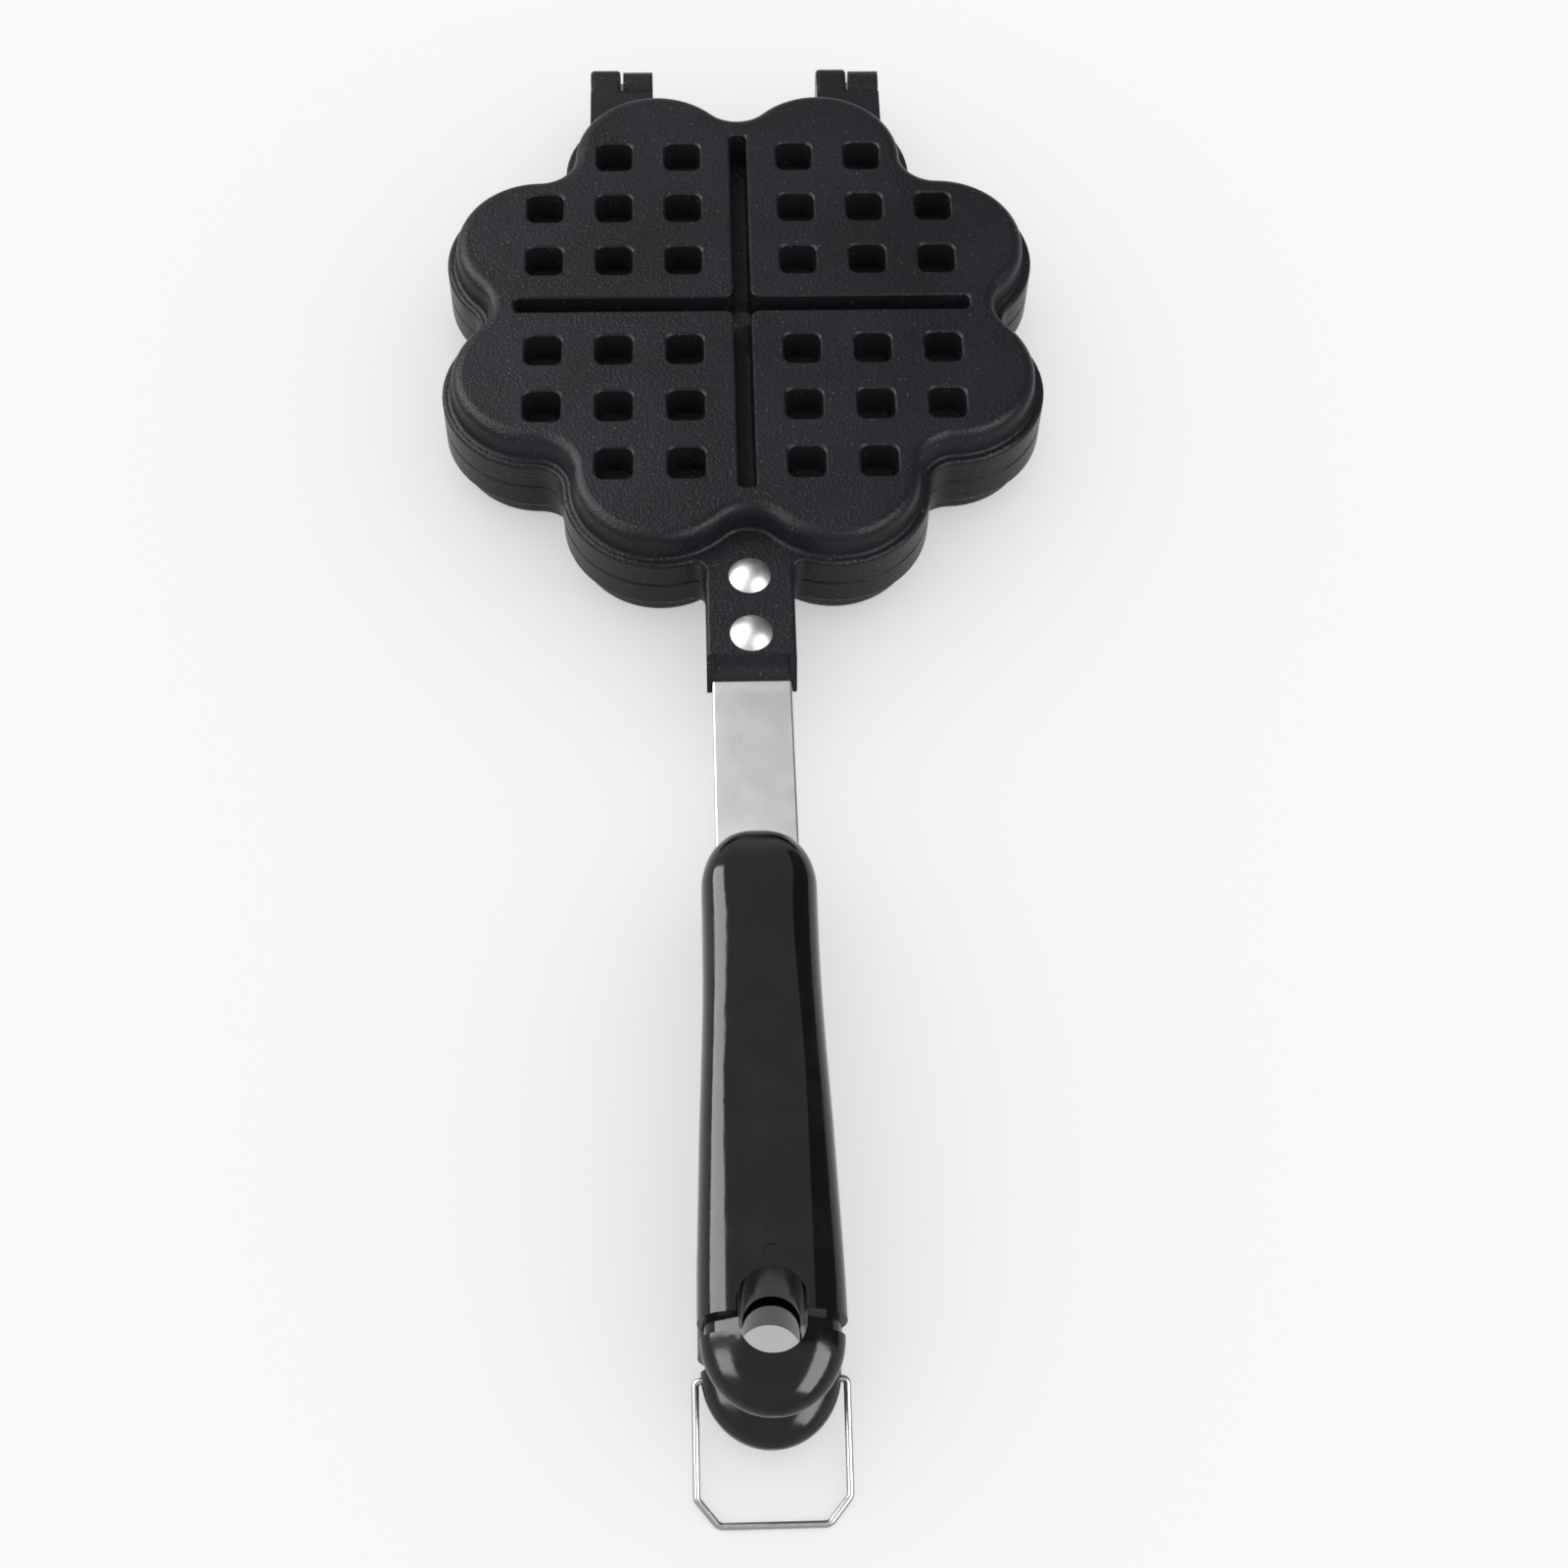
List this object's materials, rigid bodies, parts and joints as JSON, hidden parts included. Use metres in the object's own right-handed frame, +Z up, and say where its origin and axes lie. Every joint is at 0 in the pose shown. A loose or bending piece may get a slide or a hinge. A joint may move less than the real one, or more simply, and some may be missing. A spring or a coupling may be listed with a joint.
{
  "type": "stove-top waffle pan",
  "caption": "Two-sided stove-top waffle pan: hinged clover-shaped cast halves with heart moulds, riveted steel straps, black moulded grips and a wire bail that clips over their ends.",
  "frame": {"origin": "centre of the lower half's flat outer face, which rests on the stove", "axes": "+Z up through both closed halves; +Y from the grips towards the hinge; +X to the right as seen from the grips"},
  "size_m": [0.155, 0.4044, 0.0384],
  "materials": {
    "coated_casting": "cast aluminium under a near-black non-stick coating, satin with a fine speckle",
    "grip": "glossy moulded heat-proof plastic",
    "strap": "satin sheet steel",
    "screw": "plated steel",
    "rivet": "bright, polished",
    "hinge_pin": "plain steel",
    "bail": "bright drawn wire"
  },
  "bodies": {
    "lower_half": {"lower_plate": "coated_casting", "lower_strap": "strap", "lower_grip": "grip", "lower_grip_screw": "screw", "lower_front_rivet": "rivet", "lower_rear_rivet": "rivet", "hinge_pin_left": "hinge_pin", "hinge_pin_right": "hinge_pin"},
    "upper_half": {"upper_plate": "coated_casting", "upper_strap": "strap", "upper_grip": "grip", "upper_grip_screw": "screw", "upper_front_rivet": "rivet", "upper_rear_rivet": "rivet"},
    "bail": {"bail": "bail"}
  },
  "joints": [
    {"name": "lid_hinge", "type": "hinge", "parent": "lower_half", "child": "upper_half", "pos_m": [0, 0.092, 0.0162], "axis": [-1, 0, 0], "range_deg": [0, 180]},
    {"name": "bail_swing", "type": "hinge", "parent": "lower_half", "child": "bail", "pos_m": [0, -0.2774, 0.00498], "axis": [-1, 0, 0], "range_deg": [-140, 110.5]}
  ]
}
